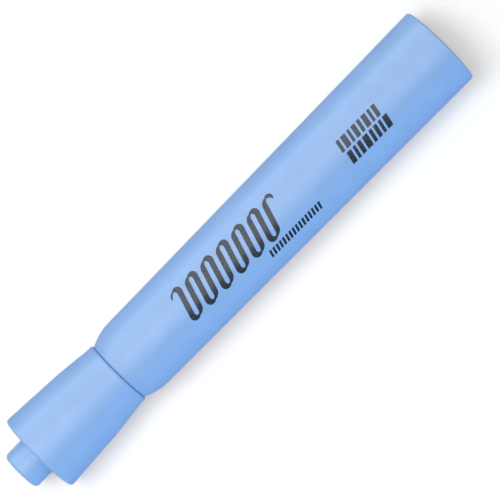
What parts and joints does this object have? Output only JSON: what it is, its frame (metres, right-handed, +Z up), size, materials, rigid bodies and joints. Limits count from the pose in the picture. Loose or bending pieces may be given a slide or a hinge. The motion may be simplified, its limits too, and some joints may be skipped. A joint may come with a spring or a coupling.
{
  "type": "capped highlighter",
  "caption": "Tank-style highlighter pen with a tapered round barrel, chisel felt nib and flared pull-off cap.",
  "frame": {"origin": "on the ground plane under the middle of the capped pen", "axes": "+X along the pen from the tail to the cap, +Z up; the pen lies on its tail rim and its cap rim"},
  "size_m": [0.1238, 0.019, 0.019],
  "materials": {
    "barrel_plastic": "satin",
    "cap_plastic": "satin",
    "nose_plastic": "satin",
    "felt_nib": "matte",
    "ink_fibre": "matte",
    "clear_film": "gloss",
    "print_ink": "gloss"
  },
  "bodies": {
    "barrel": {"barrel": "barrel_plastic", "tail_plug": "barrel_plastic", "nose_section": "nose_plastic", "chisel_nib": "felt_nib", "ink_reservoir": "ink_fibre", "reservoir_film": "clear_film"},
    "inner_cap": {"inner_cap": "cap_plastic"},
    "cap_shell": {"cap_shell": "cap_plastic"}
  },
  "joints": [
    {"name": "cap_slide", "type": "slide", "parent": "barrel", "child": "inner_cap", "axis": [1, 0, 0], "range_m": [0, 0.05]},
    {"name": "cap_twist", "type": "hinge", "parent": "inner_cap", "child": "cap_shell", "pos_m": [0.0329, 0, 0.0095], "axis": [1, 0, 0], "continuous": true}
  ]
}
